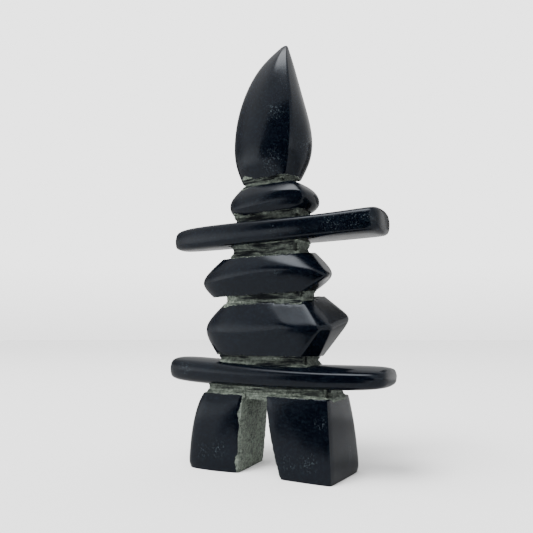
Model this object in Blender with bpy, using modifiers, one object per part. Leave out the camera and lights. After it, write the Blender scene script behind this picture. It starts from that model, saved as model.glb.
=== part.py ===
"""Stone cairn figure: eight stones standing in the outline of a person, two legs, a
long slab, a belly, a chest, a second slab, a collar and a pointed head.  They are
carved from one block, so the whole figure is one solid.

Each carved stone is a coarse cage of rings, rounded by Catmull-Clark subdivision.
Narrow necks of the same stone join them, where the maker cut the grooves that part
one stone from the next.  +X runs along the two cross slabs, the front faces -Y, and
the figure stands on +Z.  The origin lies on the ground under the middle of its box.
Sizes in this file are in millimetres and are turned to metres in one place.
"""

import bmesh
import bpy

MM = 0.001
NODE = "inuksuk_carving"
COLLECTION = "stone_cairn"

# --- driving dimensions, in millimetres ------------------------------------------
HEIGHT = 300.5          # ground to the tip of the head stone
HALF_SPAN = 84.5        # the figure's middle line to either end of the lower slab

# The shapes are laid out from the figure's own middle line.  The solid is then moved
# by this much along X and Y, so that the origin is under the middle of its box.
SHIFT = (-1.05, 1.11, 0.0)

# Heights where one carved stone ends and the next groove begins.
LEG_TOP = 50.5
LOWER_SLAB_BOTTOM = 55.5
LOWER_SLAB_TOP = 70.5
BELLY_BOTTOM = 75.5
BELLY_TOP = 113.7
CHEST_BOTTOM = 118.5
CHEST_TOP = 145.5
UPPER_SLAB_BOTTOM = 151.5
UPPER_SLAB_TOP = 168.0
COLLAR_BOTTOM = 174.0
COLLAR_TOP = 195.0
HEAD_BOTTOM = 199.5

NECK_BITE = 4.0         # how far a neck runs into the stone above and below it
NECK_WAIST = 1.6        # how far the tool hollows a neck halfway up

STONE_LEVELS = 2        # subdivision levels of a carved stone
NECK_LEVELS = 1         # and of the rougher neck between two stones
SOFT = 0.2              # crease of a corner that polishing has rounded over
RIDGE = 0.5             # crease of a ridge that still shows
ARRIS = 0.8             # crease of a crisp corner
CUT = 1.0               # crease where a groove cuts through the polished skin

# The eight points of a ring, going round from the front left corner, and the eight of
# a slab's cross-section, going round from its lower front corner.
FRONT_LEFT, FRONT, FRONT_RIGHT, RIGHT, BACK_RIGHT, BACK, BACK_LEFT, LEFT = range(8)
LOW_FRONT, NOSE, HIGH_FRONT, TOP, HIGH_BACK, HEEL, LOW_BACK, UNDER = range(8)


def ring(height, corners, sides, rise=(0.0, 0.0)):
    """Eight points round a stone in plan.  `corners` are front left, front right, back
    right and back left; `sides` are the points between them: front, right, back, left.
    A third number lifts that point; `rise` slopes the ring along X and along Y."""
    points = []
    for corner, side in zip(corners, sides):
        for x, y, *lift in (corner, side):
            points.append((x, y, height + rise[0] * x + rise[1] * y + sum(lift)))
    return points


def station(x, bottom, top, front, back, full):
    """Eight points round a slab's cross-section at one place along X.  `full` says how
    far each corner reaches into the section's own box, going round from the lower
    front corner."""
    mid_z, mid_y = (bottom + top) / 2, (front + back) / 2
    half_z, half_y = (top - bottom) / 2, (back - front) / 2
    lf, uf, ub, lb = full
    section = [
        (-lf, -lf), (-1.0, 0.0), (-uf, uf), (0.0, 1.0),
        (ub, ub), (1.0, 0.0), (lb, -lb), (0.0, -1.0),
    ]
    return [(x, mid_y + deep * half_y, mid_z + up * half_z) for deep, up in section]


def cage_stone(name, rings, round_creases, along_creases, levels=STONE_LEVELS):
    """A solid through the rings, closed at both ends and rounded by subdivision.
    `round_creases` sharpen the edges round each ring, and `along_creases` the lines that
    run from ring to ring, given by the name of the point they pass through."""
    mesh = bmesh.new()
    crease = mesh.edges.layers.float.new("crease_edge")
    loops = []
    for points in rings:
        moved = [[MM * (c + d) for c, d in zip(point, SHIFT)] for point in points]
        loops.append([mesh.verts.new(point) for point in moved])
    count = len(loops[0])
    for lower, upper in zip(loops, loops[1:]):
        for i in range(count):
            j = (i + 1) % count
            mesh.faces.new((lower[i], lower[j], upper[j], upper[i]))
    mesh.faces.new(list(reversed(loops[0])))
    mesh.faces.new(loops[-1])
    bmesh.ops.recalc_face_normals(mesh, faces=mesh.faces)
    for loop, value in zip(loops, round_creases):
        for i in range(count):
            mesh.edges.get((loop[i], loop[(i + 1) % count]))[crease] = value
    for point, value in along_creases.items():
        for lower, upper in zip(loops, loops[1:]):
            mesh.edges.get((lower[point], upper[point]))[crease] = value
    data = bpy.data.meshes.new(name)
    mesh.to_mesh(data)
    mesh.free()
    data.shade_smooth()
    stone = bpy.data.objects.new(name, data)
    smooth = stone.modifiers.new("rounding", "SUBSURF")
    smooth.levels = smooth.render_levels = levels
    return stone


def neck(name, bottom, top, left, right, front, back):
    """The stone left standing in a groove: a post, hollowed a little by the tool."""
    rings = []
    levels = (bottom - NECK_BITE, (bottom + top) / 2, top + NECK_BITE)
    for height, inset in zip(levels, (0.0, NECK_WAIST, 0.0)):
        x0, x1 = left + inset, right - inset
        y0, y1 = front + inset, back - inset
        mid_x, mid_y = (x0 + x1) / 2, (y0 + y1) / 2
        corners = ((x0, y0), (x1, y0), (x1, y1), (x0, y1))
        sides = ((mid_x, y0), (x1, mid_y), (mid_x, y1), (x0, mid_y))
        rings.append(ring(height, corners, sides))
    corners = (FRONT_LEFT, FRONT_RIGHT, BACK_RIGHT, BACK_LEFT)
    return cage_stone(name, rings, (CUT, 0, CUT), dict.fromkeys(corners, ARRIS), NECK_LEVELS)


def left_leg():
    rings = [
        ring(0.0, ((-51.5, -24.5), (-15.5, -22.5), (-18.5, 19), (-50, 18)),
             ((-34, -24.5), (-17, -2), (-34, 19.5), (-52.5, -3))),
        ring(4.0, ((-53.5, -25.5), (-14.8, -23.2), (-18, 20), (-52, 19.5)),
             ((-34, -25.5), (-16.4, -2), (-34, 21), (-54, -3))),
        ring(27.0, ((-52, -24.5), (-13, -23), (-16.8, 21.5), (-50, 20)),
             ((-33, -25.2), (-14.8, -1), (-33, 22), (-53, -3))),
        ring(44.0, ((-47.5, -23), (-11.3, -22), (-15, 21), (-46, 19)),
             ((-30, -23.5), (-12.8, -1), (-30, 21), (-48.5, -3))),
        ring(LEG_TOP, ((-44.5, -20.5), (-11, -20.5), (-14, 19), (-43, 17.5)),
             ((-28, -21), (-12.2, -1), (-28, 19), (-45, -2))),
    ]
    creases = {FRONT_LEFT: 0.35, FRONT_RIGHT: ARRIS, BACK_RIGHT: 0.6, BACK_LEFT: 0.3}
    return cage_stone("left_leg", rings, (CUT, 0.3, 0, 0, 0.6), creases)


def right_leg():
    rings = [
        ring(0.0, ((19.5, -21.8), (51, -21.5), (52.5, 22), (21, 20)),
             ((35, -22), (52, 0), (37, 22), (19.5, 0))),
        ring(4.0, ((17, -23), (52, -22.8), (54.2, 23.2), (18, 21.5)),
             ((35, -23), (53.5, 0), (37, 23.5), (17, 0))),
        ring(27.0, ((10.8, -23.2), (51.5, -23), (52.8, 21.5), (12, 21.5)),
             ((31, -23.5), (53, 0), (33, 23), (10.8, 0))),
        ring(44.0, ((8, -22.5), (50.8, -22), (51, 19), (9, 20)),
             ((29, -22.8), (51.5, 0), (30, 21), (8, 0))),
        ring(LEG_TOP, ((7, -21), (50, -20.8), (50, 18), (7.5, 18.5)),
             ((28, -21.2), (50.5, 0), (29, 19), (7, 0))),
    ]
    creases = {FRONT_LEFT: 0.6, FRONT_RIGHT: ARRIS, BACK_RIGHT: 0.4, BACK_LEFT: 0.6}
    return cage_stone("right_leg", rings, (CUT, 0.3, 0, 0, 0.6), creases)


def lower_slab():
    full = (0.92, 0.88, 0.8, 0.85)
    tip = (0.85, 0.8, 0.8, 0.8)
    rings = [
        station(-HALF_SPAN + 1.6, 60.0, 70.5, -8.5, 10.0, tip),
        station(-HALF_SPAN + 7.2, 56.5, 74.0, -16.5, 16.0, full),
        station(-31.0, 54.8, 72.5, -22.0, 20.5, full),
        station(31.0, 54.0, 70.5, -22.0, 20.5, full),
        station(HALF_SPAN - 5.5, 57.0, 69.8, -20.0, 18.0, full),
        station(HALF_SPAN + 0.5, 59.5, 68.0, -13.0, 13.0, tip),
    ]
    creases = {LOW_FRONT: SOFT, HIGH_FRONT: 0.6, LOW_BACK: SOFT}
    return cage_stone("lower_slab", rings, (SOFT, 0, 0, 0, 0, SOFT), creases)


def upper_slab():
    full = (0.92, 0.9, 0.8, 0.7)
    tip = (0.8, 0.8, 0.8, 0.8)
    rings = [
        station(-81.5, 156.0, 165.5, -8.0, 8.0, tip),
        station(-75.5, 153.5, 169.8, -14.5, 13.0, full),
        station(-28.0, 152.2, 169.3, -20.0, 15.5, full),
        station(32.0, 152.6, 168.3, -20.0, 14.5, full),
        station(79.5, 152.8, 170.0, -19.5, 13.5, full),
        station(84.2, 155.5, 167.5, -14.0, 8.0, tip),
    ]
    creases = {LOW_FRONT: 0.4, HIGH_FRONT: 0.4, LOW_BACK: SOFT}
    return cage_stone("upper_slab", rings, (SOFT, 0, 0, 0, 0, SOFT), creases)


def belly():
    rings = [
        ring(BELLY_BOTTOM, ((-38.5, -16), (29, -17.5), (34, 10.5), (-38, 13)),
             ((-2, -18), (38, -8), (0, 13.5), (-40.5, -1))),
        ring(97.0, ((-50, -19), (46, -22), (54, 18.5, 1), (-50, 18)),
             ((0, -23.5), (51.5, -13.5), (0, 21.5), (-55.5, -1)), (0.005, 0.18)),
        ring(BELLY_TOP, ((-32.5, -16), (32, -17), (34.5, 15), (-31.5, 13)),
             ((0, -18), (37, -9), (0, 15), (-34.5, -1)), (0.01, 0.19)),
    ]
    creases = {FRONT_LEFT: 0.1, FRONT_RIGHT: 0.75, RIGHT: 0.6, BACK_RIGHT: 0.45, BACK_LEFT: SOFT}
    return cage_stone("belly", rings, (CUT, RIDGE, CUT), creases)


def chest():
    rings = [
        ring(CHEST_BOTTOM, ((-42.5, -14.5), (30.5, -15), (31, 10), (-41, 12)),
             ((-4, -16), (33, -3), (-4, 12.5), (-44.5, -1)), (0.02, 0.1)),
        ring(129.5, ((-56, -17.5), (50.8, -18.5), (48, 11.5), (-54, 15)),
             ((22, -24.5, 5.0), (51.2, -6), (-3, 19), (-61, -1)), (0.0, 0.12)),
        ring(CHEST_TOP, ((-34.5, -13), (32.5, -13.5), (31, 13), (-34, 11)),
             ((0, -14.5), (34, -2), (0, 13), (-36.5, -1)), (0.0, 0.12)),
    ]
    creases = {FRONT_LEFT: 0.1, FRONT_RIGHT: 0.6, RIGHT: SOFT, BACK_RIGHT: SOFT, BACK_LEFT: SOFT}
    return cage_stone("chest", rings, (CUT, SOFT, CUT), creases)


def collar():
    rings = [
        ring(COLLAR_BOTTOM, ((-26.5, -12), (30, -14), (28, 11), (-26, 11)),
             ((5, -15), (31.5, -2), (0, 12.5), (-28.5, -1))),
        ring(179.0, ((-30, -15), (34.5, -17.5), (33, 14), (-29.5, 13)),
             ((6, -18.5), (37, -2), (0, 15.5), (-33, -1))),
        ring(185.0, ((-30.5, -14.5, -3), (33.5, -17.5, -1), (32.5, 13.5), (-30.5, 13)),
             ((14, -19, 2), (36.5, -2), (0, 15.5), (-34, -1))),
        ring(COLLAR_TOP, ((-20, -10.5), (22, -11.5), (20, 9), (-19, 9)),
             ((2, -12), (24, -1), (0, 10), (-21.5, -1))),
    ]
    creases = {FRONT_RIGHT: 0.6, BACK_RIGHT: SOFT}
    return cage_stone("collar", rings, (CUT, SOFT, RIDGE, CUT), creases)


def head():
    rings = [
        ring(HEAD_BOTTOM, ((-19, -9.5), (17, -11.5), (19, 10), (-17.5, 8)),
             ((0, -12), (22, -1), (0, 9.5), (-22.5, -1))),
        ring(215.0, ((-25.3, -12.5), (22.5, -15), (27, 14), (-23, 12)),
             ((0, -16.5), (30.5, -1), (0, 14.5), (-29.8, -1))),
        ring(235.0, ((-26, -13), (24.5, -16), (28, 14.5), (-25, 13)),
             ((0, -18), (31.5, -1), (0, 16), (-31, -1))),
        ring(260.0, ((-20.5, -12), (22.3, -14.5), (21, 12), (-20, 12)),
             ((0, -16), (24.8, -1), (0, 14), (-25.5, -1))),
        ring(285.0, ((-7.5, -7.5), (17.5, -8.5), (16.5, 7), (-7, 7)),
             ((5, -9.5), (18.5, -1), (5, 8.5), (-10.2, -1))),
        ring(HEIGHT, ((9.5, -1.2), (13, -1.6), (13, 1.1), (9.5, 1)),
             ((11.5, -1.7), (13.2, 0), (11.5, 1.3), (9.2, 0))),
    ]
    creases = {FRONT_RIGHT: ARRIS, BACK_RIGHT: 0.3}
    return cage_stone("head", rings, (CUT, 0, 0, 0, 0, 0.6), creases)


def necks():
    return [
        neck("hip_neck", LEG_TOP, LOWER_SLAB_BOTTOM + 1.0, -45.0, 50.0, -16.0, 12.0),
        neck("waist_neck", LOWER_SLAB_TOP, BELLY_BOTTOM, -36.5, 34.0, -14.0, 10.0),
        neck("middle_neck", BELLY_TOP - 3.0, CHEST_BOTTOM, -32.0, 31.0, -13.5, 9.0),
        neck("shoulder_neck", CHEST_TOP, UPPER_SLAB_BOTTOM, -27.5, 27.0, -12.5, 9.0),
        neck("throat_neck", UPPER_SLAB_TOP, COLLAR_BOTTOM, -26.0, 27.5, -11.5, 9.0),
        neck("head_neck", COLLAR_TOP, HEAD_BOTTOM, -19.0, 15.5, -10.0, 8.0),
    ]


def clear_scene():
    for old in list(bpy.data.objects):
        bpy.data.objects.remove(old, do_unlink=True)


def collection_named(name):
    made = bpy.data.collections.new(name)
    bpy.context.scene.collection.children.link(made)
    return made


def join_into_one(base, others, helpers):
    """Unites the stones and necks with `base`, which becomes the one solid."""
    for other in others:
        helpers.objects.link(other)
        other.hide_render = True
        other.display_type = "WIRE"
        union = base.modifiers.new("join " + other.name, "BOOLEAN")
        union.operation = "UNION"
        union.solver = "EXACT"
        union.object = other


def dark_stone():
    material = bpy.data.materials.new("polished dark serpentine")
    material.use_nodes = True
    shader = material.node_tree.nodes["Principled BSDF"]
    shader.inputs["Base Color"].default_value = (0.014, 0.018, 0.024, 1.0)
    shader.inputs["Roughness"].default_value = 0.25
    shader.inputs["Metallic"].default_value = 0.0
    return material


def main():
    clear_scene()
    figure = collection_named(COLLECTION)
    helpers = collection_named("helpers")
    carving = lower_slab()
    carving.name = NODE
    carving.data.materials.append(dark_stone())
    figure.objects.link(carving)
    others = [left_leg(), right_leg(), belly(), chest(), upper_slab(), collar(), head()]
    join_into_one(carving, others + necks(), helpers)
    helpers.hide_render = True


main()
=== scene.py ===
# %% [markdown]
# # A stone cairn figure, carved from one block
# The object is a small inuksuk: the outline of a person built of stones, here carved
# from a single block of dark serpentine.  The maker saws and chisels grooves to part one
# "stone" from the next, then grinds and polishes the faces and leaves the grooves rough.
# So the whole piece is one mesh with two finishes, and the lesson follows the maker:
# rough out each stone, join them, chisel the grooves, then polish.

# %% Load the measured solid
import math

import bmesh
import bpy
import numpy as np
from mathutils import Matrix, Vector, noise
from mathutils.bvhtree import BVHTree


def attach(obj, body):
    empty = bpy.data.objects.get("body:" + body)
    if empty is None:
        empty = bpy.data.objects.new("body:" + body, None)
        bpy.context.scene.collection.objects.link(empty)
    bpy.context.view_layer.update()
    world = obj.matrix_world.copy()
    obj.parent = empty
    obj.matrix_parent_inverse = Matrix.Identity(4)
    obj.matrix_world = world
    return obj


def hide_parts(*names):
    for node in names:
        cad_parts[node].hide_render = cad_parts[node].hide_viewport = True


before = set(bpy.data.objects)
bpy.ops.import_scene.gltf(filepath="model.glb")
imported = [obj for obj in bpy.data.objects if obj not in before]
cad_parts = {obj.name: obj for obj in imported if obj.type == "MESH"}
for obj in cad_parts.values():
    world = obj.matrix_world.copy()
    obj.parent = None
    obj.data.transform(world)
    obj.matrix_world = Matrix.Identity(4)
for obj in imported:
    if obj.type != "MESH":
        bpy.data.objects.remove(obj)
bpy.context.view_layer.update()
NODE = "inuksuk_carving"

# %% [markdown]
# ## A stone is a coarse cage
# A carver sees a few big planes before any detail.  A cage does the same: rings of eight
# points stacked up the stone, with flat faces between them.  A Subdivision Surface
# modifier rounds the cage off, as grinding does.  A crease tells it which edges to keep,
# so each ridge can be as sharp or as worn as it is on the real stone.

# %% Rings and sections
MM = 0.001
SHIFT = (-1.05, 1.11, 0.0)      # from the figure's own middle line to the solid's origin

# The eight points of a ring, and the eight of a slab's cross-section.
FRONT_LEFT, FRONT, FRONT_RIGHT, RIGHT, BACK_RIGHT, BACK, BACK_LEFT, LEFT = range(8)
LOW_FRONT, NOSE, HIGH_FRONT, TOP, HIGH_BACK, HEEL, LOW_BACK, UNDER = range(8)
print("points in a ring:", LEFT + 1)


def ring(height, corners, sides, rise=(0.0, 0.0)):
    """Eight points round a stone in plan: corners and the sides between them."""
    points = []
    for corner, side in zip(corners, sides):
        for x, y, *lift in (corner, side):
            points.append((x, y, height + rise[0] * x + rise[1] * y + sum(lift)))
    return points


def station(x, bottom, top, front, back, full, brow=None):
    """Eight points round a slab's cross-section at one place along it.

    brow moves the upper front edge, the top and the upper back edge."""
    mid_z, mid_y = (bottom + top) / 2, (front + back) / 2
    half_z, half_y = (top - bottom) / 2, (back - front) / 2
    lf, uf, ub, lb = full
    high_front, crest, high_back = brow or ((-uf, uf), (0.0, 1.0), (ub, ub))
    section = [
        (-lf, -lf), (-1.0, 0.0), high_front, crest,
        high_back, (1.0, 0.0), (lb, -lb), (0.0, -1.0),
    ]
    return [(x, mid_y + deep * half_y, mid_z + up * half_z) for deep, up in section]


# %% [markdown]
# ## From cage to mesh
# Every face of a cage is either ground and polished or left as the chisel cut it.  The
# mesh remembers which by its material index, and keeps it through all the later steps:
# 0 is polished, 1 is rough.  The two ends of each stone lie in a groove, so they are
# always rough.

# %% The cage builder
POLISHED, ROUGH = 0, 1
SOFT, RIDGE, ARRIS, CUT = 0.2, 0.5, 0.62, 1.0
STONE_LEVELS = 4
PLAIN_LEVELS = 3        # legs and slabs: long plain faces need fewer points
NECK_LEVELS = 3


def cage_stone(name, rings, round_creases, along_creases, levels=STONE_LEVELS,
               rough_sides=()):
    """A closed cage through the rings, rounded by subdivision."""
    mesh = bmesh.new()
    crease = mesh.edges.layers.float.new("crease_edge")
    loops = []
    for points in rings:
        moved = [[MM * (c + d) for c, d in zip(point, SHIFT)] for point in points]
        loops.append([mesh.verts.new(point) for point in moved])
    count = len(loops[0])
    for lower, upper in zip(loops, loops[1:]):
        for i in range(count):
            j = (i + 1) % count
            face = mesh.faces.new((lower[i], lower[j], upper[j], upper[i]))
            face.material_index = ROUGH if i in rough_sides else POLISHED
    for end in (list(reversed(loops[0])), loops[-1]):
        mesh.faces.new(end).material_index = ROUGH
    bmesh.ops.recalc_face_normals(mesh, faces=mesh.faces)
    for loop, values in zip(loops, round_creases):
        if not isinstance(values, tuple):
            values = (values,) * count
        for i, value in enumerate(values):
            mesh.edges.get((loop[i], loop[(i + 1) % count]))[crease] = value
    for point, values in along_creases.items():
        if not isinstance(values, tuple):
            values = (values,) * (len(loops) - 1)
        for lower, upper, value in zip(loops, loops[1:], values):
            mesh.edges.get((lower[point], upper[point]))[crease] = value
    data = bpy.data.meshes.new(name)
    mesh.to_mesh(data)
    mesh.free()
    stone = bpy.data.objects.new(name, data)
    rounding = stone.modifiers.new("rounding", "SUBSURF")
    rounding.levels = rounding.render_levels = levels
    return stone


# %% [markdown]
# ## The legs
# Two squared blocks, a little wider at the foot, with a crisp front corner.  Their inner
# faces were never polished: the chisel opened the gap between the legs and nobody could
# get a grinder in there, so those sides stay rough.

# %% Legs
LEG_TOP = 50.5


def left_leg():
    rings = [
        ring(0.0, ((-52.3, -24), (-13.3, -21.8), (-17.6, 19), (-50, 18)),
             ((-34, -26), (-15.6, -2), (-34, 19.5), (-53.3, -3))),
        ring(4.0, ((-54, -24.8), (-12.8, -22.4), (-17.1, 20), (-52, 19.5)),
             ((-34, -26.6), (-15, -2), (-34, 21), (-54.5, -3))),
        ring(27.0, ((-52.4, -24.2), (-11.8, -22.6), (-15.8, 21.5), (-50, 20)),
             ((-33, -25.8), (-13.8, -1), (-33, 22), (-53.4, -3))),
        ring(44.0, ((-47.8, -23), (-10.5, -22), (-14, 21), (-46, 19)),
             ((-30, -23.8), (-12, -1), (-30, 21), (-48.8, -3))),
        ring(LEG_TOP, ((-44.5, -20.5), (-10.4, -20.5), (-13.4, 19), (-43, 17.5)),
             ((-28, -21), (-11.6, -1), (-28, 19), (-45, -2))),
    ]
    creases = {FRONT_LEFT: 0.35, FRONT_RIGHT: ARRIS, BACK_RIGHT: 0.5, BACK_LEFT: 0.3}
    return cage_stone("left_leg", rings, (CUT, 0.3, 0, 0, 0.5), creases,
                      PLAIN_LEVELS, rough_sides=(FRONT_RIGHT, RIGHT))


def right_leg():
    rings = [
        ring(0.0, ((17.7, -22.6), (51.9, -22.3), (53.5, 22.6), (19, 20.5)),
             ((35, -23.2), (53, 0), (37, 22.6), (17.7, 0))),
        ring(4.0, ((15.9, -23.5), (52.8, -23.3), (54.9, 23.4), (17, 21.5)),
             ((35, -24), (54.2, 0), (37, 23.7), (15.9, 0))),
        ring(27.0, ((9.8, -23.4), (52, -23.2), (53.5, 21.5), (11, 21.5)),
             ((31, -23.8), (53.6, 0), (33, 23), (9.8, 0))),
        ring(44.0, ((7.2, -22.6), (50.9, -22.2), (51.3, 19), (8.2, 20)),
             ((29, -22.9), (51.7, 0), (30, 21), (7.2, 0))),
        ring(LEG_TOP, ((6.3, -21), (50, -20.8), (50, 18), (6.8, 18.5)),
             ((28, -21.2), (50.5, 0), (29, 19), (6.3, 0))),
    ]
    creases = {FRONT_LEFT: 0.5, FRONT_RIGHT: 0.56, BACK_RIGHT: 0.4, BACK_LEFT: 0.5}
    return cage_stone("right_leg", rings, (CUT, 0.3, 0, 0, 0.5), creases,
                      PLAIN_LEVELS, rough_sides=(BACK_LEFT, LEFT))


legs = [left_leg(), right_leg()]
print("legs:", [leg.name for leg in legs])

# %% [markdown]
# ## The two long slabs
# A slab is easier to loft along its length, so its cage is a row of cross-sections.  The
# lower slab bows down under its middle and keeps a crisp upper front edge, which catches
# a thin line of light.  Both ends are rounded over like a worn step.

# %% Slabs
HALF_SPAN = 84.5


def lower_slab():
    full = (0.92, 0.88, 0.8, 0.85)
    tip = (0.85, 0.8, 0.8, 0.8)
    rings = [
        station(-HALF_SPAN + 1.4, 59.0, 72.0, -9.0, 10.5, tip),
        station(-HALF_SPAN + 6.8, 55.6, 75.2, -16.5, 16.0, full),
        station(-31.0, 54.2, 72.5, -22.0, 20.5, full),
        station(31.0, 53.6, 70.6, -22.0, 20.5, full,
                ((-0.97, 0.44), (-0.62, 0.92), (0.75, 1.0))),
        station(HALF_SPAN - 4.5, 55.8, 71.2, -20.0, 18.0, full,
                ((-0.97, 0.35), (-0.6, 0.92), (0.75, 1.0))),
        station(HALF_SPAN + 0.5, 58.6, 69.2, -14.0, 14.0, tip),
    ]
    creases = {LOW_FRONT: SOFT, HIGH_FRONT: (0, 0.1, 0.15, 0.15, 0.1), LOW_BACK: SOFT,
               TOP: (0, 0, 0.3, 0.3, 0)}
    return cage_stone("lower_slab", rings, (SOFT, 0, 0, 0, 0, SOFT), creases)


def upper_slab():
    full = (0.92, 0.9, 0.8, 0.7)
    flat = (0.93, 0.95, 0.8, 0.92)
    tip = (0.8, 0.8, 0.8, 0.8)
    rings = [
        station(-81.7, 155.2, 167.3, -8.5, 8.5, tip),
        station(-76.0, 152.7, 171.3, -14.5, 13.0, full),
        station(-28.0, 152.2, 170.2, -20.0, 15.5, full),
        station(32.0, 152.6, 168.4, -20.0, 14.5, flat),
        station(75.0, 152.7, 169.8, -19.8, 14.0, flat),
        station(81.4, 152.8, 170.0, -19.2, 13.5, flat),
        station(84.2, 155.3, 168.0, -14.5, 8.0, tip),
    ]
    creases = {LOW_FRONT: (0.3, 0.4, 0.4, 0.35, 0.3, 0.2),
               HIGH_FRONT: (0.2, 0.3, 0.3, 0.2, 0.15, 0.15), LOW_BACK: SOFT}
    return cage_stone("upper_slab", rings, (SOFT, 0, 0, 0, 0, 0.1, SOFT), creases,
                      PLAIN_LEVELS)


slabs = [lower_slab(), upper_slab()]
for slab in slabs:      # the ends of a slab are polished like the rest of it
    for face in slab.data.polygons:
        face.material_index = POLISHED
print("slabs:", [slab.name for slab in slabs])

# %% [markdown]
# ## Belly, chest, collar and head
# Each is a wide faceted stone: a waist ring pushed out between two smaller rims.  The
# ridges run round the waist and up the front right corner, and the rings tilt a little,
# because nothing here was measured with a level.  The head is a pointed leaf with one
# long ridge.

# %% Body stones
BELLY_BOTTOM, BELLY_TOP = 75.5, 113.7
CHEST_BOTTOM, CHEST_TOP = 118.5, 145.5
COLLAR_BOTTOM, COLLAR_TOP = 174.0, 195.0
HEAD_BOTTOM, HEIGHT = 199.5, 300.5
TIP_FROM = 0.29         # metres up


def belly():
    rings = [
        ring(BELLY_BOTTOM, ((-39.3, -16), (29.7, -17.5), (34.8, 10.5), (-39, 13)),
             ((-2, -18), (38.8, -8), (0, 13.5), (-41.5, -1))),
        ring(97.0, ((-53.2, -18.5), (46.2, -22), (54.5, 18.5, 1), (-53, 18)),
             ((19, -24.3), (51.8, -13.5), (0, 21.5), (-58.5, -1)), (0.005, 0.18)),
        ring(BELLY_TOP, ((-34.5, -16), (29.5, -12.8, 1.2), (35, 15), (-33.5, 13)),
             ((4, -14.9, 0.5), (32, -8, 1.2), (0, 15), (-36.5, -1)), (0.01, 0.19)),
    ]
    creases = {FRONT_LEFT: 0.1, FRONT: (0, 0.7), FRONT_RIGHT: (0.6, 0.45),
               RIGHT: (0.55, 0.1), BACK_RIGHT: 0.45, BACK_LEFT: SOFT}
    ridge = (0.1, RIDGE, RIDGE, 0.4, 0.4, 0.35, 0.3, 0.15)
    return cage_stone("belly", rings, (CUT, ridge, CUT), creases)


def chest():
    rings = [
        ring(CHEST_BOTTOM, ((-44.3, -14.5), (31.3, -15), (32, 10), (-43, 12)),
             ((-4, -16), (34, -3), (-4, 12.5), (-46.3, -1)), (0.02, 0.1)),
        ring(129.5, ((-57.5, -17.3), (50.8, -18.5), (48, 11.5), (-56, 15)),
             ((20, -24.8, 9.5), (51.2, -6), (-3, 19), (-62.5, -1)), (0.0, 0.12)),
        ring(CHEST_TOP, ((-35.8, -14.5), (32, -13.3), (31, 13), (-36, 11)),
             ((7, -18), (33, -2), (0, 13), (-38.8, -1)), (0.0, 0.12)),
    ]
    creases = {FRONT_LEFT: 0.1, FRONT_RIGHT: (0.5, 0.2), RIGHT: SOFT,
               BACK_RIGHT: SOFT, BACK_LEFT: SOFT}
    ridge = (0.15, 0.4, 0.45, SOFT, SOFT, SOFT, SOFT, 0.1)
    return cage_stone("chest", rings, (CUT, ridge, CUT), creases)


def collar():
    rings = [
        ring(COLLAR_BOTTOM, ((-25, -12), (29, -14), (28, 11), (-25, 11)),
             ((5, -15), (31.5, -2), (0, 12.5), (-27.5, -1))),
        ring(178.0, ((-29.3, -15.2), (34.5, -17.5), (34, 14), (-29, 13)),
             ((6, -18.5), (39, -2), (0, 15.5), (-32.5, -1))),
        ring(186.0, ((-30.6, -13.8, -1), (33, -17, -1), (33, 13.5), (-30.5, 13)),
             ((14, -19, 2), (37.5, -2), (0, 15.5), (-34.8, -1))),
        ring(191.5, ((-26, -12, -1), (27.5, -14.5), (27, 12), (-26, 11.5)),
             ((8, -15.8, 0.5), (31, -2), (0, 13.5), (-30.3, -1))),
        ring(COLLAR_TOP, ((-22, -10.5), (22, -11.5), (20, 9), (-21, 9)),
             ((2, -12), (24, -1), (0, 10), (-24.5, -1))),
    ]
    creases = {FRONT_RIGHT: (0.3, 0.5, 0.4, 0.4), BACK_RIGHT: 0}
    brow = (0.35, RIDGE, 0.3, 0, 0, 0, 0, 0)
    return cage_stone("collar", rings, (CUT, 0, brow, 0, CUT), creases)


def head():
    rings = [
        ring(HEAD_BOTTOM, ((-20.3, -8.6), (17.5, -12.3), (19.5, 10), (-18.8, 8)),
             ((1, -12.8), (22.8, -1), (0, 9.5), (-24, -1))),
        ring(215.0, ((-26.3, -12.9), (22.5, -15.4), (27.4, 14), (-24, 12)),
             ((0, -17.3), (31.2, -1), (0, 14.5), (-30.8, -1))),
        ring(235.0, ((-26.7, -11.5), (24.5, -16), (28, 14.5), (-26.2, 13)),
             ((0, -17.5), (31.4, -1), (0, 16), (-32.2, -1))),
        ring(260.0, ((-22.7, -9), (22.5, -14.8), (21.2, 12), (-23.2, 12)),
             ((4, -16.8), (25.1, -1), (-1, 14), (-28.7, -1))),
        ring(287.5, ((-9.8, -5.3), (16.6, -8.6), (15.8, 6.6), (-10, 6.6)),
             ((9.5, -9.9), (18, -1), (4, 8), (-13.6, -1))),
        ring(HEIGHT, ((9.0, -1.2), (13.3, -1.6), (13.3, 1.1), (9.0, 1)),
             ((11.5, -1.7), (13.6, 0), (11.5, 1.3), (8.6, 0))),
    ]
    creases = {FRONT_RIGHT: ARRIS, FRONT: (0, 0, 0, 0.3, 0.45), BACK_RIGHT: 0.3}
    return cage_stone("head", rings, (CUT, 0, 0, 0, 0, 0.6), creases)


body_stones = [belly(), chest(), collar(), head()]
for face in body_stones[-1].data.polygons:      # the tip of the head is polished
    if face.center.z > TIP_FROM:
        face.material_index = POLISHED
print("body stones:", [stone.name for stone in body_stones])

# %% [markdown]
# ## The necks
# Between two stones the groove leaves a post of rough stone.  A neck runs a few
# millimetres into the stone above and below, so that the pieces really are one block
# after they are joined.

# %% Necks
NECK_BITE = 4.0
NECK_WAIST = 2.0
NECK_FLARE = 1.6        # the burr is round, so the post spreads where it meets a stone


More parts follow.
